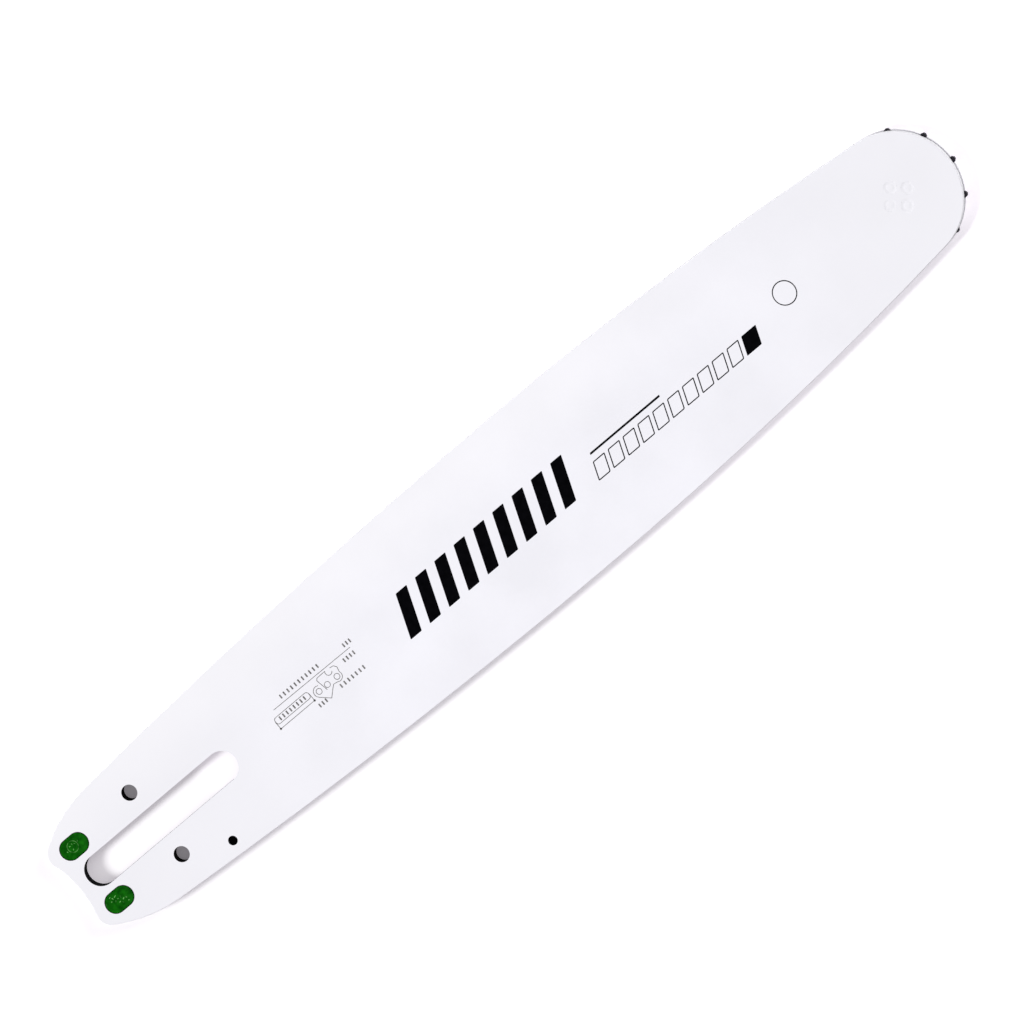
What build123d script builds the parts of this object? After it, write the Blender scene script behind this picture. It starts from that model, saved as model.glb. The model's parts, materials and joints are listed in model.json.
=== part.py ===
from build123d import *
import os
from math import atan2, cos, hypot, pi, radians, sin, sqrt

# Laminated chainsaw guide bar with a sprocket nose on a roller bearing, in millimetres.
# The origin is the centre of the stud slot on the saw side face. X runs along the bar to the nose,
# Y across it, and Z up through the back plate, the core plate and the front plate.

# Layers
plate_thickness = 1.55
core_thickness = 1.6
edge_break = 0.25

# Stud slot and tail
slot_length = 74.8
slot_width = 12.4
tail_wall = 4.8
tail_hollow_radius = 42.0
tail_corner_radius = 5.0
shoulder_run = 27.0
shoulder_half = 27.2
shoulder_radius = 59.0

# Length of the bar and belly of the rails
sprocket_reach = 374.1
belly_reach = 196.0
belly_rise = 9.9
groove_depth = 7.0

# Chain tensioner holes, in a line across the slot
tensioner_setback = 2.9
tensioner_spacing = 30.1
tensioner_diameter = 6.2

# Oil inlet, one in each plate, at the floor of the groove
oil_reach = 15.8
oil_diameter = 3.7
oil_lift = 1.1
oil_relief = 0.5

# Plugs pressed into the tail; the core keeps a land round each
plug_length = 12.6
plug_width = 8.5
plug_tail_wall = 2.9
plug_slot_wall = 2.55
plug_land = 1.3
plug_sink = 0.1

# Windows that lighten the core
window_count = 3
window_lead = 20.0
window_rim = 9.0
window_rib = 14.0
window_corner = 6.0

# Locating disc that lines up the three plates behind the nose
disc_diameter = 9.7
disc_setback = 57.5
disc_land = 6.0

# Star of the nose sprocket, set out from the line of the chain's rivets
chain_pitch = 8.255
tooth_count = 11
tooth_phase = -5.4
tooth_drop = 3.5
tooth_land = 0.9
tooth_flank = 45.0
gullet_drop = 5.0
gullet_radius = 5.8
sprocket_side_play = 0.05
pocket_clearance = 0.8

# Nose of the plates: the sprocket lifts the chain off the rails round the tip
tooth_reach = 1.4
nose_setback = 1.2

# Roller bearing of the sprocket
roller_diameter = 3.6
roller_count = 18
roller_gap = 0.04
roller_play = 0.02

# Rivets that hold the bearing ring between the plates, swaged and ground flush
rivet_count = 4
rivet_turn = 4.0
rivet_diameter = 5.0
rivet_edge = 1.55
rivet_sink = 0.03

# Clearance round every piece that is pressed or moulded into the plates
seat_play = 0.03

# Heights of the layers
core_floor = plate_thickness
core_top = core_floor + core_thickness
bar_top = core_top + plate_thickness
sprocket_thickness = core_thickness - 2 * sprocket_side_play

# Places along the bar
tail_x = -slot_length / 2 - tail_wall
shoulder_x = tail_x + shoulder_run
disc_x = sprocket_reach - disc_setback
nose_x = sprocket_reach - nose_setback

# Radii of the star, the nose and the rails
pitch_radius = chain_pitch / (2 * sin(pi / (2 * tooth_count)))
tip_radius = pitch_radius - tooth_drop
gullet_centre_radius = pitch_radius - gullet_drop
nose_radius = tip_radius - tooth_reach + nose_setback
belly_half = nose_radius + belly_rise
belly_to_nose = nose_x - belly_reach
front_radius = (belly_to_nose**2 + belly_half**2 - nose_radius**2) / (2 * belly_rise)
shoulder_drop = belly_half - shoulder_half
rear_radius = ((belly_reach - shoulder_x) ** 2 + shoulder_drop**2) / (2 * shoulder_drop)

# Radii of the bearing
roller_circle = (roller_diameter + roller_gap) / (2 * sin(pi / roller_count))
race_radius = roller_circle - roller_diameter / 2 - roller_play
bore_radius = roller_circle + roller_diameter / 2 + roller_play
rivet_circle = race_radius - rivet_edge - rivet_diameter / 2


def rail_height(x, inset=0.0):
    """Half width of the bar at x, on the rail or on a line inset from it."""
    radius = front_radius if x > belly_reach else rear_radius
    return belly_half - radius + sqrt((radius - inset) ** 2 - (x - belly_reach) ** 2)


def on_arc(centre, radius, angle):
    """Point of a circle at an angle in radians."""
    return (centre[0] + radius * cos(angle), centre[1] + radius * sin(angle))


def angle_to(centre, point):
    """Angle in radians of the way from a centre to a point."""
    return atan2(point[1] - centre[1], point[0] - centre[0])


def upper_meeting(left, left_radius, right, right_radius):
    """Upper point where two circles meet, the first one lying to the left."""
    dx = right[0] - left[0]
    dy = right[1] - left[1]
    gap = hypot(dx, dy)
    along = (gap**2 + left_radius**2 - right_radius**2) / (2 * gap)
    across = sqrt(left_radius**2 - along**2)
    return (left[0] + (along * dx - across * dy) / gap, left[1] + (along * dy + across * dx) / gap)


def mirrored(point):
    """The same point on the other side of the X axis."""
    return (point[0], -point[1])


def turned(point, angle):
    """The point turned about the origin by an angle in radians."""
    return on_arc((0.0, 0.0), hypot(*point), angle_to((0.0, 0.0), point) + angle)


def bar_outline(rail_inset=0.0):
    """Outline of a plate: a round nose, rails of two arcs that meet at the belly, and a hollow tail."""
    front_centre = (belly_reach, belly_half - front_radius)
    rear_centre = (belly_reach, belly_half - rear_radius)
    hollow_centre = (tail_x - tail_hollow_radius, 0.0)
    front_arc = front_radius - rail_inset
    rear_arc = rear_radius - rail_inset
    shoulder_arc = shoulder_radius - rail_inset

    nose_angle = angle_to(front_centre, (nose_x, 0.0))
    shoulder_angle = angle_to(rear_centre, (shoulder_x, shoulder_half))
    shoulder_centre = on_arc(rear_centre, rear_radius - shoulder_radius, shoulder_angle)
    corner = upper_meeting(hollow_centre, tail_hollow_radius, shoulder_centre, shoulder_arc)
    slope = on_arc(shoulder_centre, shoulder_arc, (angle_to(shoulder_centre, corner) + shoulder_angle) / 2)
    shoulder = on_arc(rear_centre, rear_arc, shoulder_angle)
    flank = on_arc(rear_centre, rear_arc, (shoulder_angle + pi / 2) / 2)
    belly = (belly_reach, belly_half - rail_inset)
    brow = on_arc(front_centre, front_arc, (nose_angle + pi / 2) / 2)
    cheek = on_arc(front_centre, front_arc, nose_angle)
    tip = (nose_x + nose_radius - rail_inset, 0.0)

    upper = [(corner, slope, shoulder), (shoulder, flank, belly), (belly, brow, cheek)]
    edges = [ThreePointArc(*points) for points in upper]
    edges += [ThreePointArc(*[mirrored(point) for point in points]) for points in upper]
    edges.append(ThreePointArc(cheek, tip, mirrored(cheek)))
    edges.append(ThreePointArc(mirrored(corner), (tail_x, 0.0), corner))
    outline = make_face(edges)
    tail_corners = outline.vertices().sort_by(Axis.X)[:2]
    return fillet(tail_corners, tail_corner_radius)


def stud_slot():
    """Long slot for the two studs of the saw."""
    return SlotOverall(slot_length, slot_width)


def tensioner_holes():
    """Two holes for the pin of the chain tensioner."""
    hole = Circle(tensioner_diameter / 2)
    return [Pos(-tensioner_setback, side * tensioner_spacing / 2) * hole for side in (1, -1)]


def plug_place(side):
    """Centre of a plug, beside the slot and in front of the tail."""
    x = tail_x + plug_tail_wall + plug_length / 2
    y = slot_width / 2 + plug_slot_wall + plug_width / 2
    return Pos(x, side * y)


def plug_shape(growth=0.0):
    """Rounded slot of a plug, grown all round."""
    return SlotOverall(plug_length + 2 * growth, plug_width + 2 * growth)


def plug_holes(growth=0.0):
    """Both rounded slots for the plugs."""
    return [plug_place(side) * plug_shape(growth) for side in (1, -1)]


def oil_place(side):
    """Mouth of an oil inlet, at the floor of the groove."""
    return Pos(oil_reach, side * (rail_height(oil_reach, groove_depth) + oil_lift))


def disc_hole():
    """Hole for the locating disc, in every plate."""
    return Pos(disc_x, 0) * Circle(disc_diameter / 2)


def rivet_shapes(growth=0.0):
    """Round sections of the nose rivets about the sprocket's centre, grown for their holes."""
    section = Circle(rivet_diameter / 2 + growth)
    centre = Pos(sprocket_reach, 0)
    return [centre * spot * section for spot in PolarLocations(rivet_circle, rivet_count, rivet_turn)]


def side_plate(floor, oil_side, outer_group):
    """One side plate, its outer edge broken; outer_group picks that edge, the first or last in height."""
    layer = Pos(0, 0, floor)
    plate = layer * extrude(bar_outline(), plate_thickness)
    plate = chamfer(plate.edges().group_by(Axis.Z)[outer_group], edge_break)
    oil_hole = oil_place(oil_side) * Circle(oil_diameter / 2)
    holes = [stud_slot(), oil_hole, disc_hole()]
    holes += tensioner_holes() + plug_holes() + rivet_shapes(seat_play)
    return plate - [layer * extrude(hole, plate_thickness) for hole in holes]


def front_plate():
    """Side plate away from the saw, with its oil inlet beside the lower rail."""
    return side_plate(core_top, -1, -1)


def back_plate():
    """Side plate towards the saw; its oil inlet serves when the bar is turned over."""
    return side_plate(0.0, 1, 0)


def core_window(start, end):
    """One window between two places along the bar, with sides that follow the rails."""
    inset = groove_depth + window_rim
    middle = (start + end) / 2
    left = (start, rail_height(start, inset))
    crest = (middle, rail_height(middle, inset))
    right = (end, rail_height(end, inset))
    edges = [
        ThreePointArc(left, crest, right),
        Line(right, mirrored(right)),
        ThreePointArc(mirrored(right), mirrored(crest), mirrored(left)),
        Line(mirrored(left), left),
    ]
    window = make_face(edges)
    return fillet(window.vertices(), window_corner)


def core_windows():
    """Windows in a row from the stud slot to the locating disc, with a rib between each two."""
    first = slot_length / 2 + window_lead
    last = disc_x - disc_diameter / 2 - disc_land
    pitch = (last - first + window_rib) / window_count
    starts = [first + i * pitch for i in range(window_count)]
    return [core_window(start, start + pitch - window_rib) for start in starts]


def core_plate():
    """Middle plate: its edge is the floor of the chain groove, and it ends in the sprocket's pocket."""
    shape = bar_outline(groove_depth) + plug_holes(plug_land)
    shape -= stud_slot()
    shape -= tensioner_holes()
    shape -= plug_holes()
    shape -= core_windows()
    shape -= [oil_place(side) * Circle(oil_diameter / 2 + oil_relief) for side in (1, -1)]
    shape -= disc_hole()
    shape -= Pos(sprocket_reach, 0) * Circle(tip_radius + pocket_clearance)
    return Pos(0, 0, core_floor) * extrude(shape, core_thickness)


def tail_plug(side):
    """Plug through all three plates, its faces just below theirs."""
    body = extrude(plug_shape(-seat_play), bar_top - 2 * plug_sink)
    return plug_place(side) * Pos(0, 0, plug_sink) * body


def locating_disc():
    """Flush disc through the three plates."""
    return Pos(disc_x, 0) * extrude(Circle(disc_diameter / 2 - seat_play), bar_top)


def star_outline():
    """Outline of the star: pointed teeth with straight flanks and round gullets for the drive links."""
    half_pitch = pi / tooth_count
    flank = (-cos(radians(tooth_flank)), sin(radians(tooth_flank)))
    land = (tip_radius, tooth_land / 2)
    gullet = on_arc((0.0, 0.0), gullet_centre_radius, half_pitch)
    dx = land[0] - gullet[0]
    dy = land[1] - gullet[1]
    towards = dx * flank[0] + dy * flank[1]
    run = -towards - sqrt(towards**2 - dx**2 - dy**2 + gullet_radius**2)
    flank_end = (land[0] + run * flank[0], land[1] + run * flank[1])
    root = on_arc((0.0, 0.0), gullet_centre_radius - gullet_radius, half_pitch)

    edges = []
    for tooth in range(tooth_count):
        turn = radians(tooth_phase) + 2 * half_pitch * tooth
        following = turn + 2 * half_pitch
        edges.append(Line(turned(mirrored(land), turn), turned(land, turn)))
        edges.append(Line(turned(land, turn), turned(flank_end, turn)))
        gullet_end = turned(mirrored(flank_end), following)
        edges.append(ThreePointArc(turned(flank_end, turn), turned(root, turn), gullet_end))
        edges.append(Line(gullet_end, turned(mirrored(land), following)))
    return make_face(edges)


def nose_sprocket():
    """Star wheel that carries the chain round the nose, its bore the bearing's outer race."""
    star = star_outline() - Circle(bore_radius)
    return Pos(sprocket_reach, 0, core_floor + sprocket_side_play) * extrude(star, sprocket_thickness)


def bearing_ring():
    """Inner race, as thick as the core, held between the plates by the rivets."""
    shape = Pos(sprocket_reach, 0) * Circle(race_radius) - rivet_shapes(seat_play)
    return Pos(0, 0, core_floor) * extrude(shape, core_thickness)


def rollers():
    """Rollers of the bearing, one solid each."""
    roller = extrude(Circle(roller_diameter / 2), sprocket_thickness)
    centre = Pos(sprocket_reach, 0, core_floor + sprocket_side_play)
    return [centre * spot * roller for spot in PolarLocations(roller_circle, roller_count)]


def nose_rivets():
    """All the nose rivets, separate solids in one group."""
    height = bar_top - 2 * rivet_sink
    return Compound([Pos(0, 0, rivet_sink) * extrude(shape, height) for shape in rivet_shapes()])


pieces = {
    "front_plate": front_plate(),
    "core_plate": core_plate(),
    "back_plate": back_plate(),
    "upper_plug": tail_plug(1),
    "lower_plug": tail_plug(-1),
    "locating_disc": locating_disc(),
    "nose_sprocket": nose_sprocket(),
    "bearing_ring": bearing_ring(),
    "nose_rivets": nose_rivets(),
}
for number, roller in enumerate(rollers(), start=1):
    pieces[f"roller_{number:02d}"] = roller

os.makedirs("parts", exist_ok=True)
for name, piece in pieces.items():
    piece.label = name
    export_step(piece, f"parts/{name}.step")
print(f"{len(pieces)} pieces, {nose_x + nose_radius - tail_x:.1f} mm from tail hollow to nose")
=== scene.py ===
# %% [markdown]
# A chainsaw guide bar is a flat sandwich of three steel plates. The chain runs in the groove between the
# two outer plates and turns round a toothed star at the nose. The solid plates, star and bearing come from
# the CAD model, so this lesson gives them their finishes, dresses the plugs, the disc and the rivets with
# finer shapes, and adds the marks on the front face. Everything is in metres, in the CAD model's own frame.

# %% load the CAD model
import json
from math import cos, pi, radians, sin

import bpy
from mathutils import Matrix, Vector


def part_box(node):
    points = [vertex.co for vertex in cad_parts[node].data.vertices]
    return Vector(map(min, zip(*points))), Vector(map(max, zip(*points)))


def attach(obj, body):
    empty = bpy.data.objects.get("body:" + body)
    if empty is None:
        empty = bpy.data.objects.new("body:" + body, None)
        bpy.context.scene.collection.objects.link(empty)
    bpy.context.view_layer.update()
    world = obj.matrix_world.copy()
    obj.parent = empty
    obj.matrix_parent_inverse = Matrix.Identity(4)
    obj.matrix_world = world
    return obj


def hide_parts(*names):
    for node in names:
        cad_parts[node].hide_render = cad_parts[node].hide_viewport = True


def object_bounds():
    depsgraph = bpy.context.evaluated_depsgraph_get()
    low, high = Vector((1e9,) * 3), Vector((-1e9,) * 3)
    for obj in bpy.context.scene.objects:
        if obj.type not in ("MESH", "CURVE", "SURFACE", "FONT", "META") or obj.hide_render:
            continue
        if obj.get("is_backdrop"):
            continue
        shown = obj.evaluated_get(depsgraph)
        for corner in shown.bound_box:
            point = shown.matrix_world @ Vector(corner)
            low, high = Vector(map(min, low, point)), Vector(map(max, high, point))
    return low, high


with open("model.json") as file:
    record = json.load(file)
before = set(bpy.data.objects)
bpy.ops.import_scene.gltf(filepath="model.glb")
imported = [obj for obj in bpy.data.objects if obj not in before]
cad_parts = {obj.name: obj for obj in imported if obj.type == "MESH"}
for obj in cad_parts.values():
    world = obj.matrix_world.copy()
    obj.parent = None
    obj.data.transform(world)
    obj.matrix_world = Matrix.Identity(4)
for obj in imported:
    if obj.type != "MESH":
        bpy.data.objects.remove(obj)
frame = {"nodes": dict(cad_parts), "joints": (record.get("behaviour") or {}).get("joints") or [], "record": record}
cad_box = [list(corner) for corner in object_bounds()]
mm = 0.001
print("CAD box in mm:", [[round(value / mm, 1) for value in corner] for corner in cad_box])

# %% [markdown]
# The picture was taken from far away with a long lens, from above and a little towards the nose, with the
# bar running up to the right. A camera can be aimed with a constraint, but here its three axes are worked
# out from the tilt and the roll and put into a matrix, which keeps the aim exact and easy to change.

# %% the camera's axes
tilt_to_nose = radians(17.0)
tilt_across = radians(1.0)
bar_roll = radians(40.152)

to_camera = Vector((sin(tilt_to_nose), sin(tilt_across), cos(tilt_to_nose))).normalized()
along = (Vector((1, 0, 0)) - to_camera * to_camera.x).normalized()
across = to_camera.cross(along)
right = cos(bar_roll) * along - sin(bar_roll) * across
up = sin(bar_roll) * along + cos(bar_roll) * across
print("the camera looks along", [round(-value, 3) for value in to_camera])

# %% the camera
image_width = 1018
lens_pixels = 30000
pixels_per_metre = 2694.6
aim_point = Vector((0.170, 0.0, 0.0))
aim_pixel = (497.29, 534.86)
far_clip = 100

distance = lens_pixels / pixels_per_metre
aside = (image_width / 2 - aim_pixel[0]) / pixels_per_metre
above = (aim_pixel[1] - image_width / 2) / pixels_per_metre
camera_data = bpy.data.cameras.new("photo_camera")
camera_data.lens = lens_pixels / image_width * camera_data.sensor_width
camera_data.clip_end = far_clip
camera = bpy.data.objects.new("photo_camera", camera_data)
bpy.context.scene.collection.objects.link(camera)
turn = Matrix((right, up, to_camera)).transposed().to_4x4()
place = aim_point + to_camera * distance + right * aside + up * above
camera.matrix_world = Matrix.Translation(place) @ turn
bpy.context.scene.camera = camera
print(f"camera {distance:.1f} m away, lens {camera_data.lens:.0f} mm")

# %% [markdown]
# The floor and the finishes are made of shader nodes. They could be wired by hand in the node editor, but
# a formula of several steps is easier to read as code. So a few helpers each make a node, feed it and give
# its output. Places are measured on the piece itself, so a pattern moves with its piece.

# %% helpers for shader nodes


def math_node(tree, operation, *values):
    """A Math node fed by sockets or plain numbers; gives its output."""
    node = tree.nodes.new("ShaderNodeMath")
    node.operation = operation
    for socket, value in zip(node.inputs, values):
        if isinstance(value, (int, float)):
            socket.default_value = value
        else:
            tree.links.new(value, socket)
    return node.outputs[0]


def split_xyz(tree, vector):
    """The three parts of a vector, by their letters."""
    node = tree.nodes.new("ShaderNodeSeparateXYZ")
    tree.links.new(vector, node.inputs["Vector"])
    return node.outputs


def plan_place(tree, coordinates):
    """Place along the bar, distance from its middle line, and height."""
    place = split_xyz(tree, coordinates.outputs["Object"])
    return place["X"], math_node(tree, "ABSOLUTE", place["Y"]), place["Z"]


def flat_distance(tree, x, y, centre_x, centre_y):
    """Distance in the plane of the plates from a centre."""
    square_x = math_node(tree, "POWER", math_node(tree, "SUBTRACT", x, centre_x), 2.0)
    square_y = math_node(tree, "POWER", math_node(tree, "SUBTRACT", y, centre_y), 2.0)
    return math_node(tree, "SQRT", math_node(tree, "ADD", square_x, square_y))


def eased(tree, value, low, high, start, end):
    """A value that goes smoothly from start to end while another goes from low to high."""
    node = tree.nodes.new("ShaderNodeMapRange")
    node.interpolation_type = "SMOOTHSTEP"
    tree.links.new(value, node.inputs["Value"])
    limits = {"From Min": low, "From Max": high, "To Min": start, "To Max": end}
    for socket, number in limits.items():
        node.inputs[socket].default_value = number
    return node.outputs["Result"]


def seen_directly(tree):
    """One for rays that look at a surface by eye, in a mirror or through glass, and nought for light."""
    path = tree.nodes.new("ShaderNodeLightPath").outputs
    shiny = math_node(tree, "MAXIMUM", path["Is Glossy Ray"], path["Is Transmission Ray"])
    return math_node(tree, "MAXIMUM", path["Is Camera Ray"], shiny)


print("node helpers ready")

# %% [markdown]
# The bar lies on a white sweep. A plain white plane would turn grey in the bar's shadow, so the sweep carries
# painted light: besides the light that it throws back it shows a faint lilac glow to the eye. This painted
# light is stronger towards the nose and at the front end of the slot, which keeps the bar's shadow pale and
# narrow there, and little of it is seen under the two tensioner holes, which leaves painted shade there.
# It lights nothing else.

# %% how the sweep glows
tail_glow = 0.33
front_glow = 0.42
nose_glow = 0.66
front_from, front_to = 150 * mm, 280 * mm
nose_from, nose_to = 375 * mm, 402 * mm
slot_length, slot_width = 74.8 * mm, 12.4 * mm
slot_run = (slot_length - slot_width) / 2
slot_end_glow = 0.16
slot_end_from, slot_end_to = 5 * mm, 15 * mm
hole_glow = 0.13
painted_shade_radius = 5 * mm
mounts = {mount["name"]: mount for mount in frame["record"]["mounts"]}
tensioner_x, tensioner_y, _ = mounts["upper_tensioner_hole"]["pos_m"]


def painted_sweep_light(tree):
    """The painted light at each place: two steps up along the bar, more at the slot's end, painted shade under the
    holes.
    """
    x, side_y, _ = plan_place(tree, tree.nodes.new("ShaderNodeTexCoord"))
    glow = eased(tree, x, front_from, front_to, tail_glow, front_glow)
    nose_step = eased(tree, x, nose_from, nose_to, 0.0, nose_glow - front_glow)
    glow = math_node(tree, "ADD", glow, nose_step)
    # Painted light: more glow at the slot's front end lifts the shadow there.
    from_slot_end = flat_distance(tree, x, side_y, slot_run, 0.0)
    slot_end = eased(tree, from_slot_end, slot_end_from, slot_end_to, slot_end_glow, 0.0)
    glow = math_node(tree, "ADD", glow, slot_end)
    # Painted shade: round the tensioner holes the glow drops to its least.
    from_hole = flat_distance(tree, x, side_y, tensioner_x, tensioner_y)
    open_floor = math_node(tree, "GREATER_THAN", from_hole, painted_shade_radius)
    return math_node(tree, "MAXIMUM", math_node(tree, "MULTIPLY", glow, open_floor), hole_glow)


print(f"glow from {tail_glow} at the tail to {nose_glow} at the nose")

# %% the white sweep
sweep_size = 12
sweep_drop = 0.02 * mm
sweep_white = 0.80
sweep_roughness = 0.9
glow_tint = (0.97, 0.89, 1.0)

bpy.ops.object.select_all(action="DESELECT")
bpy.ops.mesh.primitive_plane_add(size=sweep_size, location=(0, 0, -sweep_drop))
floor = bpy.context.active_object
floor.name = "white_sweep"
sweep = bpy.data.materials.new("white_sweep")
sweep.use_nodes = True
sweep_tree = sweep.node_tree
sweep_shader = sweep_tree.nodes["Principled BSDF"]
sweep_shader.inputs["Base Color"].default_value = (sweep_white, sweep_white, sweep_white, 1)
sweep_shader.inputs["Roughness"].default_value = sweep_roughness
sweep_shader.inputs["Specular IOR Level"].default_value = 0.0
sweep_shader.inputs["Emission Color"].default_value = (*glow_tint, 1)
shown_glow = math_node(sweep_tree, "MULTIPLY", seen_directly(sweep_tree), painted_sweep_light(sweep_tree))
sweep_tree.links.new(shown_glow, sweep_shader.inputs["Emission Strength"])
floor.data.materials.append(sweep)
floor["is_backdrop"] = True
print(f"white sweep, {sweep_size} m wide, {len(sweep_tree.nodes)} nodes")

# %% [markdown]
# A low key lamp stands at the tail, a weak fill lamp at the nose, and even light comes from all round.
# Each is given as a share of a full white on level ground, and the shares add up to one, so a colour
# renders as it is written. Suns are used instead of area lamps because their light is the same along the
# whole bar. To the eye the world is plain white, whatever its share of the light.

# %% the world and the lamps
world_share = 0.30
fill_share = 0.18
key_share = 1.0 - world_share - fill_share
# Each lamp: its share, the direction towards it, and the spread of its light.
lamps = {
    "key_lamp": (key_share, Vector((-1.60, 0.46, 1.0)), radians(15)),
    "nose_fill": (fill_share, Vector((1.0, 0.10, 0.34)), radians(30)),
}

bpy.context.scene.view_settings.view_transform = "Standard"
world = bpy.data.worlds.new("studio")
bpy.context.scene.world = world
world.use_nodes = True
world_tree = world.node_tree
sky = world_tree.nodes["Background"]
sky.inputs["Color"].default_value = (1, 1, 1, 1)
sky_gain = math_node(world_tree, "MULTIPLY", seen_directly(world_tree), 1.0 - world_share)
world_tree.links.new(math_node(world_tree, "ADD", sky_gain, world_share), sky.inputs["Strength"])

for name, (share, direction, spread) in lamps.items():
    lamp_data = bpy.data.lights.new(name, "SUN")
    lamp_data.energy = pi * share / direction.normalized().z
    lamp_data.angle = spread
    lamp = bpy.data.objects.new(name, lamp_data)
    lamp.rotation_euler = direction.to_track_quat("Z", "Y").to_euler()
    bpy.context.scene.collection.objects.link(lamp)
    print(f"{name} {lamp_data.energy:.2f} W/m2, world {world_share}")

# %% [markdown]
# Most finishes here start the same way: a Principled shader, the piece's own coordinates and some noise.
# Each finish could repeat those steps, but these helpers hold them once, so that a finish below only says
# what is special about it.

# %% helpers for the finishes
nodes = frame["nodes"]


def new_finish(name, roughness, metallic=0.0, shine=0.5):
    """A material with its shader set up; gives the material, its tree, the shader and the coordinates."""
    material = bpy.data.materials.new(name)
    material.use_nodes = True
    tree = material.node_tree
    shader = tree.nodes["Principled BSDF"]
    shader.inputs["Roughness"].default_value = roughness
    shader.inputs["Metallic"].default_value = metallic
    shader.inputs["Specular IOR Level"].default_value = shine
    return material, tree, shader, tree.nodes.new("ShaderNodeTexCoord")


def noise(tree, coordinates, scale, detail=2.0, stretch=(1.0, 1.0, 1.0)):
    """Noise in the piece's own coordinates, drawn out along an axis where stretch is small."""
    mapping = tree.nodes.new("ShaderNodeMapping")
    mapping.inputs["Scale"].default_value = stretch
    tree.links.new(coordinates.outputs["Object"], mapping.inputs["Vector"])
    texture = tree.nodes.new("ShaderNodeTexNoise")
    texture.inputs["Scale"].default_value = scale
    texture.inputs["Detail"].default_value = detail
    tree.links.new(mapping.outputs["Vector"], texture.inputs["Vector"])
    return texture.outputs["Fac"]


def levelness(tree, coordinates):
    """One on a level face, nought on an upright one."""
    return math_node(tree, "ABSOLUTE", split_xyz(tree, coordinates.outputs["Normal"])["Z"])


def ramp(tree, value, dark, light, low=0.3, high=0.7):
    """Two colours, blended by a value between low and high."""
    node = tree.nodes.new("ShaderNodeValToRGB")
    for element, position, colour in zip(node.color_ramp.elements, (low, high), (dark, light)):
        element.position = position
        element.color = (*colour, 1)
    tree.links.new(value, node.inputs["Fac"])
    return node.outputs["Color"]


def blend(tree, amount, first, second):
    """Mixes a colour from the tree with a plain colour, by an amount."""
    node = tree.nodes.new("ShaderNodeMix")
    node.data_type = "RGBA"
    tree.links.new(amount, node.inputs["Factor"])
    tree.links.new(first, node.inputs["A"])
    node.inputs["B"].default_value = (*second, 1)
    return node.outputs["Result"]


def bump(tree, height, depth, strength=1.0, under=None):
    """Relief of a depth in metres from a height between 0 and 1, on top of another relief."""
    node = tree.nodes.new("ShaderNodeBump")
    node.inputs["Strength"].default_value = strength
    node.inputs["Distance"].default_value = depth
    tree.links.new(height, node.inputs["Height"])
    if under is not None:
        tree.links.new(under, node.inputs["Normal"])
    return node.outputs["Normal"]


def scaled(tree, value, low, high):
    """A value between 0 and 1 stretched to run from low to high."""
    return math_node(tree, "ADD", math_node(tree, "MULTIPLY", value, high - low), low)


def dress(names, finish):
    """Gives CAD nodes a finish in place of what they came with."""
    for name in names:
        nodes[name].data.materials.clear()
        nodes[name].data.materials.append(finish)


print("finish helpers ready")

# %% [markdown]
# The side plates are coated, but the walls of their holes and their inner faces are painted almost black,
# partly as bare oily steel and partly as painted shade in the holes and in the groove between the plates.
# At the nose the inner faces keep the coat's colour, so the open groove there looks lighter. A mask finds
# the dark places: upright faces near a hole, and anything as near the middle of the sandwich as the core
# plate is. Painting the mask by hand would work too, but distances from the holes' centres keep it exact.

# %% where the coat is missing
wall_margin = 0.5 * mm
slot_reach = slot_width / 2 + wall_margin
tensioner_reach = mounts["upper_tensioner_hole"]["dims"]["r_mm"] * mm + wall_margin
oil_x, oil_y, _ = mounts["back_oil_inlet"]["pos_m"]
oil_reach = mounts["back_oil_inlet"]["dims"]["r_mm"] * mm + wall_margin
plug_low, plug_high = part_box("upper_plug")
plug_x = (plug_low.x + plug_high.x) / 2
plug_y = (plug_low.y + plug_high.y) / 2
plug_radius = (plug_high.y - plug_low.y) / 2
plug_reach = plug_radius + wall_margin
plug_run = (plug_high.x - plug_low.x) / 2 - plug_radius
face_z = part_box("front_plate")[1].z
core_low, core_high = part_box("core_plate")
inner_margin = 0.01 * mm
inner_reach = (core_high.z - core_low.z) / 2 + inner_margin
bare_until, coated_from = 300 * mm, 376 * mm
upright_below = 0.5


def near_holes(tree, x, side_y):
    """One within a short way of the slot, a plug, a tensioner hole or an oil hole."""
    past_run = math_node(tree, "SUBTRACT", math_node(tree, "ABSOLUTE", x), slot_run)
    past_end = math_node(tree, "MAXIMUM", past_run, 0.0)
    in_slot = math_node(tree, "LESS_THAN", flat_distance(tree, past_end, side_y, 0.0, 0.0), slot_reach)
    from_tensioner = flat_distance(tree, x, side_y, tensioner_x, tensioner_y)
    in_tensioner = math_node(tree, "LESS_THAN", from_tensioner, tensioner_reach)
    in_oil = math_node(tree, "LESS_THAN", flat_distance(tree, x, side_y, oil_x, oil_y), oil_reach)
    from_plug = math_node(tree, "ABSOLUTE", math_node(tree, "SUBTRACT", x, plug_x))
    past_plug = math_node(tree, "MAXIMUM", math_node(tree, "SUBTRACT", from_plug, plug_run), 0.0)
    in_plug = math_node(tree, "LESS_THAN", flat_distance(tree, past_plug, side_y, 0.0, plug_y), plug_reach)
    in_long_hole = math_node(tree, "MAXIMUM", in_slot, in_plug)
    in_round_hole = math_node(tree, "MAXIMUM", in_tensioner, in_oil)
    return math_node(tree, "MAXIMUM", in_long_hole, in_round_hole)


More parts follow.
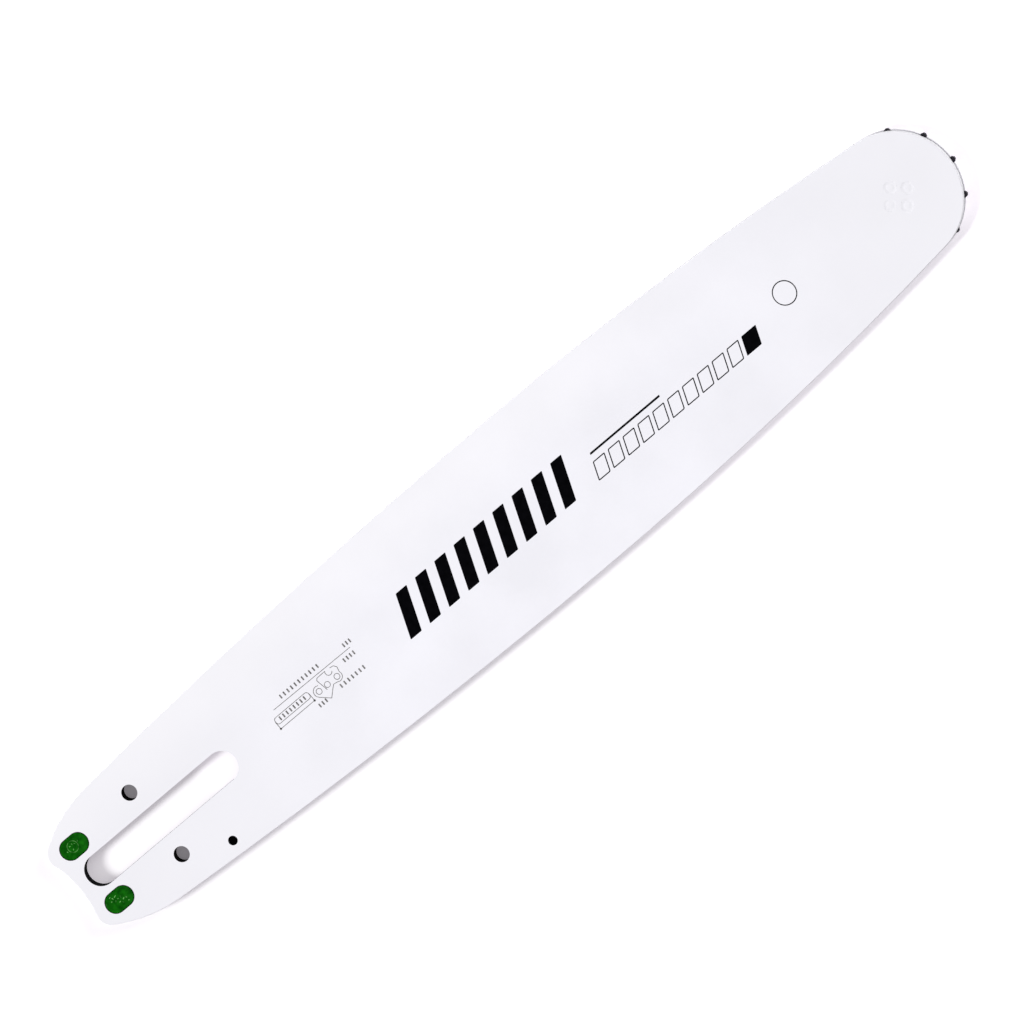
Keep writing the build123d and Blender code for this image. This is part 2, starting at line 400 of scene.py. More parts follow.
def bare_masks(tree, coordinates):
    """Two masks: the cut walls of the holes, and the inner faces away from the nose."""
    x, side_y, z = plan_place(tree, coordinates)
    upright = math_node(tree, "LESS_THAN", levelness(tree, coordinates), upright_below)
    cut_wall = math_node(tree, "MULTIPLY", near_holes(tree, x, side_y), upright)
    from_middle = math_node(tree, "ABSOLUTE", math_node(tree, "SUBTRACT", z, face_z / 2))
    inner_face = math_node(tree, "LESS_THAN", from_middle, inner_reach)
    uncoated = eased(tree, x, bare_until, coated_from, 1.0, 0.0)
    return cut_wall, math_node(tree, "MULTIPLY", inner_face, uncoated)


print(f"bare within {inner_reach / mm:.2f} mm of the middle of the sandwich")

# %% [markdown]
# The coat is thin and satin, nearly white with a cool tint. Close up it is not one tone: rolling and
# welding leave soft clouds in it, and it is a little darker towards both ends. Towards one rail, the side
# that the key lamp comes from, it carries painted light. Its broken edges are painted paler, partly as
# rubbing and partly as painted light against their shade. The spot welds that join the plates show as
# shallow dents, which are so faint that a bump is enough. One image texture could hold all this, but noise
# and distances stay sharp at any size.

# %% the tones of the coat
coat_dark = (0.876, 0.868, 0.922)
coat_light = (0.940, 0.931, 0.990)
coat_end_tone = (0.880, 0.871, 0.914)
rail_painted_light = (0.985, 0.972, 1.0)
edge_wear_and_light = (0.95, 0.94, 0.98)
coat_middle = 190 * mm
ends_from, ends_to, ends_share = 60 * mm, 200 * mm, 0.7
bright_from, bright_to, bright_share = 4 * mm, 30 * mm, 0.35
bright_until, bright_end = 220 * mm, 330 * mm
grain_share = 0.12
level_above = 0.95


def coat_tone(tree, coordinates, grain):
    """The colour of the coat from clouds and grain, its place on the bar and its edges, with painted light towards
    one rail and on the broken edges.
    """
    place = split_xyz(tree, coordinates.outputs["Object"])
    clouds = noise(tree, coordinates, scale=28, detail=3.0)
    mottle = math_node(tree, "ADD", clouds, math_node(tree, "MULTIPLY", grain, grain_share))
    tone = ramp(tree, mottle, coat_dark, coat_light, low=0.36, high=0.76)
    off_middle = math_node(tree, "ABSOLUTE", math_node(tree, "SUBTRACT", place["X"], coat_middle))
    toward_ends = eased(tree, off_middle, ends_from, ends_to, 0.0, ends_share)
    tone = blend(tree, toward_ends, tone, coat_end_tone)
    # Painted light: the coat is lighter towards the rail on the key lamp's side.
    rail_light_share = eased(tree, place["Y"], bright_from, bright_to, 0.0, bright_share)
    to_tail = eased(tree, place["X"], bright_until, bright_end, 1.0, 0.0)
    tone = blend(tree, math_node(tree, "MULTIPLY", rail_light_share, to_tail), tone, rail_painted_light)
    # The broken edges are painted paler, partly as rubbing and partly as painted light against their shade.
    broken_edge = math_node(tree, "LESS_THAN", levelness(tree, coordinates), level_above)
    edge_wear_and_light_share = scaled(tree, noise(tree, coordinates, scale=260), low=0.35, high=0.9)
    return blend(tree, math_node(tree, "MULTIPLY", broken_edge, edge_wear_and_light_share), tone, edge_wear_and_light)


print("tones of the coat ready")

# %% the satin coat
oil_and_shade_black = (0.0008, 0.0008, 0.0012)
inner_oil_and_shade = (0.012, 0.012, 0.014)
weld_first_x = 38 * mm
weld_pitch = 50 * mm
weld_row_y = 16.5 * mm
weld_radius = 4.2 * mm


def weld_dents(tree, coordinates):
    """Height of the face along two rows of spot welds: nought in a weld's middle and one away from it."""
    x, side_y, _ = plan_place(tree, coordinates)
    along_row = math_node(tree, "SUBTRACT", x, weld_first_x)
    along_row = math_node(tree, "WRAP", along_row, weld_pitch / 2, -weld_pitch / 2)
    from_weld = flat_distance(tree, along_row, side_y, 0.0, weld_row_y)
    return math_node(tree, "SMOOTH_MIN", math_node(tree, "DIVIDE", from_weld, weld_radius), 1.0)


def satin_coat():
    """The near-white coat of the side plates, with cut walls and inner faces painted near black, partly as oily
    steel and partly as painted shade.
    """
    material, tree, shader, coordinates = new_finish("satin_coat", roughness=0.45, shine=0.02)
    cut_wall, inner_face = bare_masks(tree, coordinates)
    grain = noise(tree, coordinates, scale=700)
    tone = coat_tone(tree, coordinates, grain)
    # Painted shade: the inner faces and the cut walls are made near black, partly as bare oily steel.
    tone = blend(tree, inner_face, tone, inner_oil_and_shade)
    tone = blend(tree, cut_wall, tone, oil_and_shade_black)
    tree.links.new(tone, shader.inputs["Base Color"])
    bare = math_node(tree, "MAXIMUM", cut_wall, inner_face)
    gloss = math_node(tree, "MAXIMUM", scaled(tree, grain, low=0.36, high=0.54), bare)
    tree.links.new(gloss, shader.inputs["Roughness"])
    peel = bump(tree, noise(tree, coordinates, scale=1500), depth=0.02 * mm, strength=0.35)
    dents = bump(tree, weld_dents(tree, coordinates), depth=0.06 * mm, strength=0.5, under=peel)
    tree.links.new(dents, shader.inputs["Normal"])
    return material


coat = satin_coat()
dress(("front_plate", "back_plate"), coat)
print("coat on the side plates,", len(coat.node_tree.nodes), "nodes")

# %% [markdown]
# The middle plate, the star and the bearing are bare steel. Rolled plate keeps its grey scale and shows
# fine lines along its length, hardened teeth are nearly black, and a ground bearing is bright with a soft
# sheen. Each could be built by itself, but one function with a few settings makes all three, because only
# the tone, the gloss and the direction of the lines differ. Round the holes the middle plate is painted as
# black as the cut walls of the side plates, partly for oil and partly as painted shade.

# %% the bare steels
glossier, duller = -0.08, 0.12
line_depth = 0.01 * mm


def bare_steel(name, dark, light, roughness, line_scale, stretch, metallic=1.0, oily_shaded_holes=False):
    """Steel whose lines run along the axis in which stretch is small."""
    material, tree, shader, coordinates = new_finish(name, roughness, metallic, shine=0.1)
    lines = noise(tree, coordinates, line_scale, detail=3.0, stretch=stretch)
    tone = ramp(tree, lines, dark, light)
    gloss = scaled(tree, lines, roughness + glossier, roughness + duller)
    if oily_shaded_holes:
        x, side_y, _ = plan_place(tree, coordinates)
        # Painted shade round the holes of the middle plate, partly as oil.
        oil_and_shade = near_holes(tree, x, side_y)
        tone = blend(tree, oil_and_shade, tone, oil_and_shade_black)
        gloss = math_node(tree, "MAXIMUM", gloss, oil_and_shade)
    tree.links.new(tone, shader.inputs["Base Color"])
    tree.links.new(gloss, shader.inputs["Roughness"])
    tree.links.new(bump(tree, lines, line_depth, strength=0.4), shader.inputs["Normal"])
    return material


core_steel = bare_steel(
    "rolled_core_steel",
    dark=(0.20, 0.20, 0.215),
    light=(0.34, 0.34, 0.36),
    roughness=0.50,
    line_scale=900,
    stretch=(0.03, 1.0, 1.0),
    metallic=0.0,
    oily_shaded_holes=True,
)
star_steel = bare_steel(
    "blackened_star_steel",
    dark=(0.012, 0.012, 0.016),
    light=(0.035, 0.033, 0.040),
    roughness=0.42,
    line_scale=700,
    stretch=(1.0, 1.0, 0.3),
)
ground_steel = bare_steel(
    "ground_bearing_steel",
    dark=(0.50, 0.50, 0.52),
    light=(0.66, 0.66, 0.68),
    roughness=0.28,
    line_scale=1200,
    stretch=(1.0, 1.0, 0.2),
)
rollers = [name for name in nodes if name.startswith("roller_")]
dress(["core_plate"], core_steel)
dress(["nose_sprocket"], star_steel)
dress(["bearing_ring", *rollers], ground_steel)
print("bare steel on the core, the star, the bearing ring and", len(rollers), "rollers")

# %% [markdown]
# The tail plugs are dark green moulded plastic with a gloss. Its colour shifts a little in the thick and
# thin places, and the skin has a faint ripple from the mould, which breaks up the reflections. The rims
# carry painted shade, and the raised marks are painted pale in places, partly as rubbing and partly as
# painted highlights. A plain green would look like paint, so noise drives the colour and the gloss, and the
# same function with a paler green makes the pale places.

# %% the green plastic
rim_shade_green = (0.001, 0.022, 0.001)
rim_shade_sharpness = 6.0


def green_plastic(name, dark, light, low=0.3, high=0.7):
    """Glossy green moulding, with painted shade where the faces turn down to the rim."""
    material, tree, shader, coordinates = new_finish(name, roughness=0.26, shine=0.03)
    flow = noise(tree, coordinates, scale=420)
    turned_down = math_node(tree, "SUBTRACT", 1.0, levelness(tree, coordinates))
    # Painted shade: darker green where the faces turn down to the rim.
    rim_shade = math_node(tree, "MINIMUM", math_node(tree, "MULTIPLY", turned_down, rim_shade_sharpness), 1.0)
    tone = ramp(tree, flow, dark, light, low, high)
    tree.links.new(blend(tree, rim_shade, tone, rim_shade_green), shader.inputs["Base Color"])
    tree.links.new(scaled(tree, flow, low=0.20, high=0.34), shader.inputs["Roughness"])
    ripple = noise(tree, coordinates, scale=900, detail=1.0)
    tree.links.new(bump(tree, ripple, depth=0.03 * mm, strength=0.5), shader.inputs["Normal"])
    return material


plug_plastic = green_plastic("green_plastic", dark=(0.0004, 0.056, 0.0006), light=(0.0060, 0.142, 0.0030))
# The paler green of the mark tops: rubbing, and painted highlights.
rubbed_and_highlight_plastic = green_plastic(
    "rubbed_and_highlight_plastic", dark=(0.0010, 0.100, 0.0010), light=(0.15, 0.46, 0.11), low=0.37, high=0.56
)
print("green plastic ready")

# %% [markdown]
# New pieces are shaped with the operators that a hand would use, on parts of the mesh that are selected
# first. Clicking needs a window, so code selects by place instead. These tools select, name, copy, join
# and close a piece, and every piece below is made with them.

# %% tools for modelling
same_height = 0.004 * mm


def deselect_all():
    """Nothing selected, so that the next operator works on the new piece only."""
    bpy.ops.object.select_all(action="DESELECT")


def settle(piece, name):
    """Names a new piece and moves its place into its mesh."""
    piece.name = name
    piece.data.name = name
    bpy.ops.object.transform_apply(location=True, rotation=True, scale=True)
    return piece


def select_parts(piece, kind, test):
    """In edit mode, selects the vertices, edges or faces that pass a test on their corner points."""
    bpy.ops.object.mode_set(mode="EDIT")
    bpy.ops.mesh.select_mode(type=kind)
    bpy.ops.mesh.select_all(action="DESELECT")
    bpy.ops.object.mode_set(mode="OBJECT")
    mesh = piece.data
    if kind == "VERT":
        for vertex in mesh.vertices:
            vertex.select = test([vertex.co])
    else:
        for part in mesh.edges if kind == "EDGE" else mesh.polygons:
            part.select = test([mesh.vertices[index].co for index in part.vertices])
    bpy.ops.object.mode_set(mode="EDIT")


def at_height(z):
    """A test that holds for parts whose corner points all lie at one height."""
    return lambda points: all(abs(point.z - z) < same_height for point in points)


def close_piece():
    """Turns the faces outwards and leaves edit mode."""
    bpy.ops.mesh.select_all(action="SELECT")
    bpy.ops.mesh.normals_make_consistent(inside=False)
    bpy.ops.object.mode_set(mode="OBJECT")


def copy_piece(piece, name):
    """A copy with a mesh of its own, alone in the selection."""
    deselect_all()
    twin = piece.copy()
    twin.data = piece.data.copy()
    twin.name = name
    twin.data.name = name
    bpy.context.scene.collection.objects.link(twin)
    twin.select_set(True)
    bpy.context.view_layer.objects.active = twin
    return twin


def join_pieces(pieces, name):
    """One piece from several."""
    deselect_all()
    for piece in pieces:
        piece.select_set(True)
    bpy.context.view_layer.objects.active = pieces[0]
    bpy.ops.object.join()
    return settle(bpy.context.active_object, name)


print("modelling tools ready")

# %% [markdown]
# The CAD plugs are plain rounded slots. The real ones have soft rims and a slightly sunk face, so each is
# modelled afresh in the same place. A rounded slot could be cut from a box, but a cylinder pulled apart
# into two halves has its round ends from the start. Its rims are then bevelled, and its faces are inset
# and sunk.

# %% the body of a plug
rim_round = 0.55 * mm
face_inset = 0.35 * mm
face_sink = 0.10 * mm
wall_corners = 4


def rounded_slot(name, centre, length, width, depth, vertices=64):
    """A rounded slot: a cylinder whose two halves are pulled apart along the bar."""
    deselect_all()
    bpy.ops.mesh.primitive_cylinder_add(
        vertices=vertices, radius=width / 2, depth=depth, location=centre, rotation=(0, 0, pi / vertices)
    )
    piece = settle(bpy.context.active_object, name)
    for side in (1, -1):
        select_parts(piece, "VERT", lambda points: side * (points[0].x - centre.x) > 0)
        bpy.ops.transform.translate(value=(side * (length - width) / 2, 0, 0))
        bpy.ops.object.mode_set(mode="OBJECT")
    return piece


def plug_body(name, low, high):
    """A rounded slot that fills a box, with soft rims and sunk faces."""
    size = high - low
    piece = rounded_slot(name, (low + high) / 2, size.x, size.y, size.z)
    for z, inward in ((low.z, 1), (high.z, -1)):
        level = at_height(z)
        select_parts(piece, "EDGE", level)
        bpy.ops.mesh.bevel(offset=rim_round, segments=5, profile=0.6, affect="EDGES")
        select_parts(piece, "FACE", lambda points: len(points) > wall_corners and level(points))
        bpy.ops.mesh.inset(thickness=face_inset)
        bpy.ops.transform.translate(value=(0, 0, inward * face_sink))
        close_piece()
    return piece


print(f"plugs with rims of {rim_round / mm:.2f} mm")

# %% [markdown]
# A plug's face carries low mould marks: a ring with short ribs on one plug, and rows of ribs on the other.
# They could be a bump in the plastic, but they catch the light, so they are real shapes. The ring is a
# flat cylinder whose top is inset and sunk again, and a rib is a small rounded slot with bevelled edges.

# %% the mould marks
mark_height = 0.16 * mm
ring_radius = 2.3 * mm
ring_width = 0.17 * mm
ring_slope = 0.08 * mm
ring_floor = 0.01 * mm
rib_width = 0.40 * mm
rib_bevel = 0.06 * mm


def ring_mark(name, centre):
    """A raised ring: a flat cylinder whose top is inset and sunk again inside the ring."""
    deselect_all()
    bpy.ops.mesh.primitive_cylinder_add(vertices=48, radius=ring_radius, depth=mark_height, location=centre)
    mark = settle(bpy.context.active_object, name)
    select_parts(mark, "FACE", at_height(centre.z + mark_height / 2))
    bpy.ops.mesh.inset(thickness=ring_width)
    bpy.ops.mesh.inset(thickness=ring_slope)
    bpy.ops.transform.translate(value=(0, 0, ring_floor - mark_height / 2))
    close_piece()
    return mark


def rib_mark(name, centre, length, turn):
    """A short raised rib with its top edges bevelled, turned about its own middle."""
    mark = rounded_slot(name, centre, length, rib_width, mark_height, vertices=16)
    select_parts(mark, "EDGE", at_height(centre.z + mark_height / 2))
    bpy.ops.mesh.bevel(offset=rib_bevel, segments=2, affect="EDGES")
    bpy.ops.mesh.select_all(action="SELECT")
    bpy.ops.transform.rotate(value=turn, orient_axis="Z", center_override=centre)
    close_piece()
    return mark


def rib_marks(middle, ribs, askew=0.0):
    """Ribs about a place on a plug's face, all turned askew together."""
    marks = []
    for number, (x, y, length, turn) in enumerate(ribs):
        place = Matrix.Rotation(askew, 3, "Z") @ Vector((x, y, 0)) * mm
        marks.append(rib_mark(f"plug_rib_{number}", middle + place, length * mm, turn + askew))
    return marks


print(f"mould marks {mark_height / mm:.2f} mm high")

# %% [markdown]
# Each plug is put together from its body and its marks. Only the tops of the marks are painted paler,
# partly as rubbing and partly as painted highlights, so the faces of a mark get one of two materials by
# their height. The ribs could be scattered at random, but some might then cross the ring, so they are
# listed one by one, as uneven as worn mould marks are.

# %% the tail plugs
pale_top_above = mark_height / 3
plug_smooth = radians(40)
ring_shift = Vector((-0.5, 0.3, 0)) * mm
row_turn = radians(-38)
# Each rib: its place x and y and its length in millimetres, and its turn in radians.
upper_ribs = (
    (-0.9, 0.7, 0.8, 0.4),
    (0.6, -0.5, 0.8, 1.9),
    (0.3, 1.0, 0.7, 1.2),
    (-0.5, -1.0, 0.7, 2.3),
    (1.2, 0.5, 0.6, 0.1),
    (2.9, 0.6, 0.7, 2.2),
    (-3.0, -0.4, 0.7, 0.9),
)
lower_ribs = (
    (-3.7, 0.6, 0.8, 0.3),
    (-2.6, 0.2, 1.0, 2.0),
    (-1.7, 1.1, 1.2, 0.4),
    (-0.5, 0.3, 0.8, 1.2),
    (0.5, 1.0, 1.0, 2.6),
    (1.6, 0.4, 0.9, 0.2),
    (2.7, 0.9, 0.7, 1.6),
    (-3.0, -1.0, 0.8, 1.1),
    (-1.5, -0.8, 1.1, 0.2),
    (0.2, -0.9, 0.9, 0.6),
    (1.4, -1.0, 0.8, 2.1),
    (3.6, -0.2, 0.7, 1.3),
)


def upper_marks(middle):
    """A ring with short ribs in and around it."""
    ring_middle = middle + ring_shift
    return [ring_mark("plug_ring", ring_middle), *rib_marks(ring_middle, upper_ribs)]


def lower_marks(middle):
    """Short ribs in rows that run askew over the plug."""
    return rib_marks(middle, lower_ribs, row_turn)


def tail_plug(name, node, make_marks):
    """A plug with its mould marks, in the place of a CAD node."""
    low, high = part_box(node)
    piece = plug_body(name, low, high)
    piece.data.materials.append(plug_plastic)
    middle = (low + high) / 2
    middle.z = high.z - face_sink
    marks = make_marks(middle)
    for mark in marks:
        mark.data.materials.append(plug_plastic)
        mark.data.materials.append(rubbed_and_highlight_plastic)
        # The tops of the marks get the paler green: rubbing, and painted highlights.
        for face in mark.data.polygons:
            face.material_index = 1 if face.center.z > middle.z + pale_top_above else 0
    piece = join_pieces([piece, *marks], name)
    bpy.ops.object.shade_smooth_by_angle(angle=plug_smooth)
    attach(piece, "bar")
    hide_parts(node)
    return piece


for name, node, make_marks in (
    ("upper_tail_plug", "upper_plug", upper_marks),
    ("lower_tail_plug", "lower_plug", lower_marks),
):
    plug = tail_plug(name, node, make_marks)
    print(name, len(plug.data.polygons), "faces")

# %% [markdown]
# Behind the nose a round slug lines up the three plates. It is coated with them, and only the fine groove
# round it shows, as a thin dark circle. A dark line could be drawn on a flat face, but the slug is
# modelled with a bevelled rim, and the bevel gets a dark finish of its own, because dirt and shade fill
# such a groove.

# %% the locating disc
groove_width = 0.42 * mm


def groove_shade():
    """Dark, matt filling of a narrow groove."""
    material, tree, shader, coordinates = new_finish("groove_shade", roughness=0.7, shine=0.1)
    dust = noise(tree, coordinates, scale=900)
    tone = ramp(tree, dust, dark=(0.012, 0.012, 0.014), light=(0.035, 0.034, 0.038))
    tree.links.new(tone, shader.inputs["Base Color"])
    return material


disc_low, disc_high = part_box("locating_disc")
disc_size = disc_high - disc_low
deselect_all()
bpy.ops.mesh.primitive_cylinder_add(
    vertices=128, radius=disc_size.x / 2, depth=disc_size.z, location=(disc_low + disc_high) / 2
)
disc = settle(bpy.context.active_object, "locating_slug")
select_parts(disc, "EDGE", lambda points: abs(points[0].z - points[1].z) < same_height)
bpy.ops.mesh.bevel(offset=groove_width, segments=1, affect="EDGES")
close_piece()
disc.data.materials.append(coat)
disc.data.materials.append(groove_shade())
for face in disc.data.polygons:
    face.material_index = 0 if abs(face.normal.z) > level_above else 1
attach(disc, "bar")
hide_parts("locating_disc")
print("locating slug,", len(disc.data.polygons), "faces")

# %% [markdown]
# Four rivets hold the bearing. They are swaged and ground flush, then coated, so only a soft ring is left
# of each head. A head could be turned from a profile, but insets of a cylinder's end keep the rings even,
# and pushing them in one after another gives broad slopes. One rivet is shaped like this, and the other
# three are copies turned about the bearing's axis.

# %% one nose rivet
rivet_radius = 2.5 * mm
rivet_press = 0.04 * mm
rivet_sink = 0.005 * mm
ring_depth = 0.13 * mm
# Each step: the width of an inset, and how far its inner part is then pushed in.
ring_steps = (
    (0.06 * mm, 0.0),
    (0.35 * mm, 0.3 * ring_depth),
    (0.45 * mm, 0.7 * ring_depth),
    (0.40 * mm, -0.5 * ring_depth),
    (0.50 * mm, -0.3 * ring_depth),
)
rivet_low, rivet_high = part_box("nose_rivets")


def flush_rivet(name, x, y):
    """One rivet with a soft swaged ring in each end."""
    deselect_all()
    bpy.ops.mesh.primitive_cylinder_add(
        vertices=64,
        radius=rivet_radius + rivet_press,
        depth=rivet_high.z - rivet_low.z - 2 * rivet_sink,
        location=(x, y, (rivet_low.z + rivet_high.z) / 2),
    )
    piece = settle(bpy.context.active_object, name)
    for z, inward in ((rivet_high.z - rivet_sink, -1), (rivet_low.z + rivet_sink, 1)):
        select_parts(piece, "FACE", at_height(z))
        for width, push in ring_steps:
            bpy.ops.mesh.inset(thickness=width)
            bpy.ops.transform.translate(value=(0, 0, inward * push))
        close_piece()
    return piece


print(f"rivets {2 * rivet_radius / mm:.1f} mm across")

# %% the nose rivets
rivet_count = 4
rivet_turn = radians(4.0)
rivet_smooth = radians(35)
axis = Vector(frame["joints"][0]["pos_m"])
rivet_circle = ((rivet_high.x - rivet_low.x) / 2 - rivet_radius) / cos(rivet_turn)
first_x = axis.x + rivet_circle * cos(rivet_turn)
first_y = axis.y + rivet_circle * sin(rivet_turn)

rivets = [flush_rivet("nose_rivet_1", first_x, first_y)]
for number in range(1, rivet_count):
    rivet = copy_piece(rivets[0], f"nose_rivet_{number + 1}")
    bpy.ops.object.mode_set(mode="EDIT")
    bpy.ops.mesh.select_all(action="SELECT")
    quarter = number * 2 * pi / rivet_count
    bpy.ops.transform.rotate(value=quarter, orient_axis="Z", center_override=axis)
    bpy.ops.object.mode_set(mode="OBJECT")
    rivets.append(rivet)
rivet_set = join_pieces(rivets, "nose_rivet_set")
bpy.ops.object.shade_smooth_by_angle(angle=rivet_smooth)
rivet_set.data.materials.append(coat)
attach(rivet_set, "bar")
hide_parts("nose_rivets")
print(f"{rivet_count} rivets on a circle of {rivet_circle / mm:.2f} mm")

# %% [markdown]
# Print is a film of ink, far thinner than the coat is. It could be part of the plate's material, but then
# its edges would blur when the material is baked. So each field is a flat plane that is pulled into a
# leaning shape, has its corners rounded, and is extruded by the thickness of the film. A frame is the same
# field with its middle taken out.

# %% films of ink
film_rest = 0.008 * mm
film_height = 0.012 * mm


def leaning_field(name, x_range, y_range, rounding, lean=0.0, frame_width=0.0):
    """A film with rounded corners, whose ends lean by a share of its height, or only a frame of it."""
    height = y_range[1] - y_range[0]
    middle = Vector((sum(x_range) / 2, sum(y_range) / 2, face_z + film_rest))
    deselect_all()
    bpy.ops.mesh.primitive_plane_add(size=1, location=middle)
    piece = bpy.context.active_object
    piece.scale = (x_range[1] - x_range[0], height, 1)
    settle(piece, name)
    select_parts(piece, "VERT", lambda points: points[0].y > middle.y)
    bpy.ops.transform.translate(value=(lean * height, 0, 0))
    bpy.ops.mesh.select_all(action="SELECT")
    bpy.ops.mesh.bevel(offset=rounding, segments=5, affect="VERTICES")
    bpy.ops.mesh.select_mode(type="FACE")
    bpy.ops.mesh.select_all(action="SELECT")
    if frame_width:
        bpy.ops.mesh.inset(thickness=frame_width)
        bpy.ops.mesh.delete(type="FACE")
        bpy.ops.mesh.select_all(action="SELECT")
    bpy.ops.mesh.extrude_region_move(TRANSFORM_OT_translate={"value": (0, 0, film_height)})
    close_piece()
    return piece


def row_of(field, count, step):
    """A row of copies of a field along the bar, as one piece."""
    pieces = [field]
    for number in range(1, count):
        twin = copy_piece(field, f"{field.name}_{number + 1}")
        twin.location = (number * step, 0, 0)
        pieces.append(settle(twin, twin.name))
    return join_pieces(pieces, field.name)


def finish_film(piece, material):
    """Gives a film its ink and lets it ride on the bar."""
    piece.data.materials.append(material)
    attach(piece, "bar")
    return piece


print(f"films {film_height / mm:.3f} mm thick")

# %% [markdown]
# The front face carries plain black print: a row of leaning stripes, and a row of open cells with a thin
# rule over it and a small block at its end. All fields lean alike. An array modifier could repeat a stripe
# or a cell, but each is made once, copied along the bar and joined, which leaves no modifier to apply.

# %% the sizes of the print
lean = 0.42
stripe_y = (-9.0 * mm, 7.7 * mm)
stripe_start, stripe_width, stripe_step = 119.5 * mm, 5.5 * mm, 9.8 * mm
stripe_count = 9
cell_y = (-9.0 * mm, -2.0 * mm)
cell_start, cell_width, cell_step = 215.0 * mm, 5.9 * mm, 7.5 * mm
cell_count = 10
cell_line = 0.42 * mm
cells_end = cell_start + cell_count * cell_step
block_width = 7.2 * mm
rule_inset = (4.0 * mm, 36.0 * mm)
rule_rise = (2.4 * mm, 3.2 * mm)
rule_x = (cell_start + rule_inset[0], cells_end - rule_inset[1])
rule_y = (cell_y[1] + rule_rise[0], cell_y[1] + rule_rise[1])
block_round, cell_round, rule_round = 0.3 * mm, 0.5 * mm, 0.1 * mm
print(f"print from {stripe_start / mm:.0f} to {(cells_end + block_width) / mm:.0f} mm along the bar")

# %% the black print


def black_ink():
    """Satin black ink with the faint unevenness of a screen print."""
    material, tree, shader, coordinates = new_finish("black_ink", roughness=0.5, shine=0.01)
    cover = noise(tree, coordinates, scale=420, detail=3.0)
    tone = ramp(tree, cover, dark=(0.0004, 0.0004, 0.0008), light=(0.0020, 0.0019, 0.0028))
    tree.links.new(tone, shader.inputs["Base Color"])
    tree.links.new(scaled(tree, cover, low=0.42, high=0.58), shader.inputs["Roughness"])
    return material


stripe_x = (stripe_start, stripe_start + stripe_width)
stripe = leaning_field("print_stripes", stripe_x, stripe_y, block_round, lean)
cell_x = (cell_start, cell_start + cell_width)
cell = leaning_field("print_cells", cell_x, cell_y, cell_round, lean, cell_line)
rule = leaning_field("print_rule", rule_x, rule_y, rule_round, lean)
block_x = (cells_end, cells_end + block_width)
block = leaning_field("print_end_block", block_x, cell_y, block_round, lean)
stripes = row_of(stripe, stripe_count, stripe_step)
cells = row_of(cell, cell_count, cell_step)
ink = black_ink()
for field in (stripes, cells, rule, block):
    finish_film(field, ink)
    print(field.name, len(field.data.polygons), "faces")

# %% [markdown]
# Near the slot a fine grey drawing is etched into the coat: a little bar outline with a measuring line
# under it, a long line with small blocks over it, and a piece of chain with a tang and a cutter, with more
# rows of blocks beside it. A curve with a bevel could draw the lines, but here each is a thin film, made
# like the print and far narrower, so that all marks lie in one plane. Rounded frames make the bar's
# outline and the rivet holes, and chains of short lines follow the rounds of the links.

# %% etched lines and frames
line_width = 0.24 * mm
line_round = 0.05 * mm


def etched_line(name, start, end):
    """A straight etched line from one place on the face to another."""
    run = Vector(end) - Vector(start)
    middle = (Vector(start) + Vector(end)) / 2
    line_x = (-run.length / 2, run.length / 2)
    line = leaning_field(name, line_x, (-line_width / 2, line_width / 2), line_round)
    line.rotation_euler = (0, 0, run.angle_signed(Vector((1, 0))))
    line.location = (*middle, 0)
    return settle(line, name)


def etched_path(name, places):
    """A chain of etched lines through several places."""
    ends = enumerate(zip(places, places[1:]))
    return [etched_line(f"{name}_{number}", start, end) for number, (start, end) in ends]


def arc_path(centre, radius, turns, steps=6):
    """Places along an arc on the face, from one angle in degrees to another."""
    start, end = turns
    angles = [radians(start + (end - start) * step / steps) for step in range(steps + 1)]
    return [(centre[0] + radius * cos(angle), centre[1] + radius * sin(angle)) for angle in angles]


def square_about(x, y, size):
    """The ranges in x and y of a square field about a place."""
    return (x - size / 2, x + size / 2), (y - size / 2, y + size / 2)


print(f"etched lines {line_width / mm:.2f} mm wide")

# %% the etched bar and its measuring line
bar_x = (58.4 * mm, 75.6 * mm)
bar_y = (-1.6 * mm, 1.4 * mm)
bar_round = 1.2 * mm
measure_y = -3.2 * mm
dot_size = 0.85 * mm
dot_round = 0.4 * dot_size
long_line = ((61.0 * mm, 3.9 * mm), (99.5 * mm, 3.5 * mm))

drawing = [
    leaning_field("etched_bar", bar_x, bar_y, bar_round, frame_width=line_width),
    etched_line("etched_long_line", *long_line),
    etched_line("etched_measure", (bar_x[0], measure_y), (bar_x[1], measure_y)),
]
for side, x in zip(("left", "right"), bar_x):
    drawing.append(etched_line(f"etched_stop_{side}", (x, 0.0), (x, measure_y)))
    drawing.append(leaning_field(f"etched_dot_{side}", *square_about(x, measure_y, dot_size), dot_round))
print("etched bar,", len(drawing), "films")

# %% the etched piece of chain
link_y = -1.7 * mm
hole_x = (79.2 * mm, 83.4 * mm, 88.3 * mm)
hole_size = 2.5 * mm
hole_round = 0.48 * hole_size
link_round, link_turns = 2.25 * mm, (60, 230)
end_round, end_turns = 2.1 * mm, (-127, 25)
notch_round, notch_turns = 1.4 * mm, (135, 335)
notch_place = (86.9 * mm, 1.7 * mm)
tang = ((81.3 * mm, -6.6 * mm), (84.0 * mm, -4.2 * mm), (85.4 * mm, -3.1 * mm))
depth_gauge = ((90.7 * mm, 1.0 * mm), (89.9 * mm, 2.2 * mm), (88.2 * mm, 2.5 * mm))
heel = ((82.1 * mm, -3.2 * mm), (81.2 * mm, 1.9 * mm), (81.9 * mm, 2.6 * mm))

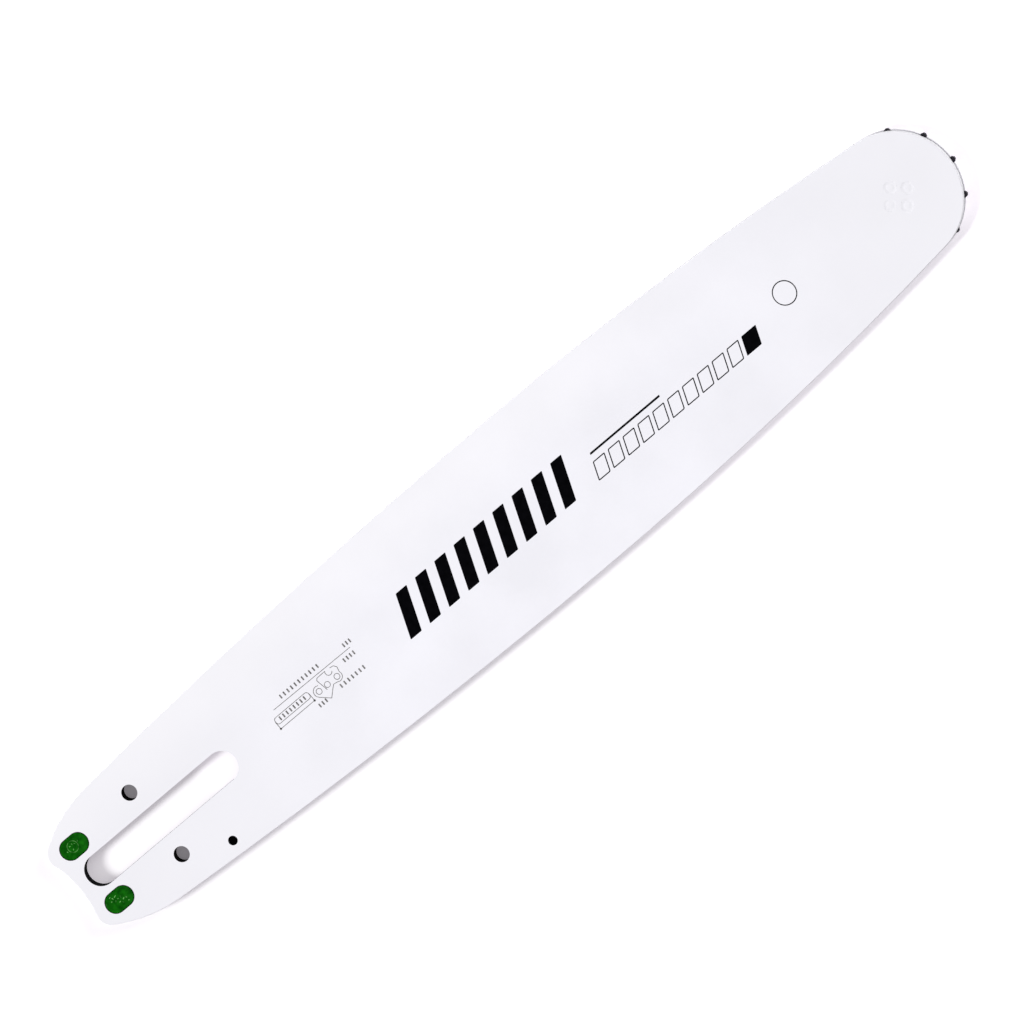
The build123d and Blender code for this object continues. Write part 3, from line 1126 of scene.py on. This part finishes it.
for number, x in enumerate(hole_x):
    hole = square_about(x, link_y, hole_size)
    drawing.append(leaning_field(f"etched_hole_{number}", *hole, hole_round, frame_width=line_width))
link_path = [
    *arc_path((hole_x[0], link_y), link_round, link_turns),
    *tang,
    *arc_path((hole_x[2], link_y), end_round, end_turns),
    *depth_gauge,
]
cutter_path = [*heel, *arc_path(notch_place, notch_round, notch_turns)]
drawing += etched_path("etched_link", link_path)
drawing += etched_path("etched_cutter", cutter_path)
print("with the piece of chain,", len(drawing), "films")

# %% the etched drawing
mark_size = (0.6 * mm, 1.7 * mm)
mark_round = 0.15 * mm
# Each row: the place of its first block, how many blocks it has, and their step.
mark_rows = (
    (66.2 * mm, 5.2 * mm, 11, 1.85 * mm),
    (60.6 * mm, -0.9 * mm, 8, 1.75 * mm),
    (86.9 * mm, -6.3 * mm, 7, 1.9 * mm),
    (94.2 * mm, 0.3 * mm, 4, 1.6 * mm),
    (75.6 * mm, -6.8 * mm, 3, 1.6 * mm),
    (97.8 * mm, 4.7 * mm, 3, 1.5 * mm),
)


def etched_grey():
    """Dull grey of etched lines, a little broken."""
    material, tree, shader, coordinates = new_finish("etched_grey", roughness=0.6, shine=0.2)
    broken = noise(tree, coordinates, scale=1300)
    tone = ramp(tree, broken, dark=(0.07, 0.066, 0.064), light=(0.27, 0.26, 0.26))
    tree.links.new(tone, shader.inputs["Base Color"])
    return material


for number, (x, y, count, step) in enumerate(mark_rows):
    mark_x, mark_y = (x, x + mark_size[0]), (y, y + mark_size[1])
    first_mark = leaning_field(f"etched_row_{number}", mark_x, mark_y, mark_round)
    drawing.append(row_of(first_mark, count, step))
etching = finish_film(join_pieces(drawing, "etched_drawing"), etched_grey())
print("etched drawing,", len(etching.data.polygons), "faces")

# %% [markdown]
# At the end the box of the dressed bar is measured against the CAD box, and the largest difference
# between their sides is printed. Apart from the thickness of the ink the two should be the same.

# %% measure and finish
visual_box = [list(corner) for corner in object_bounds()]
sides = zip(sum(cad_box, []), sum(visual_box, []))
growth = max(abs(cad_side - visual_side) for cad_side, visual_side in sides)
print(f"the dressed bar differs from the CAD box by {growth / mm:.3f} mm at most")
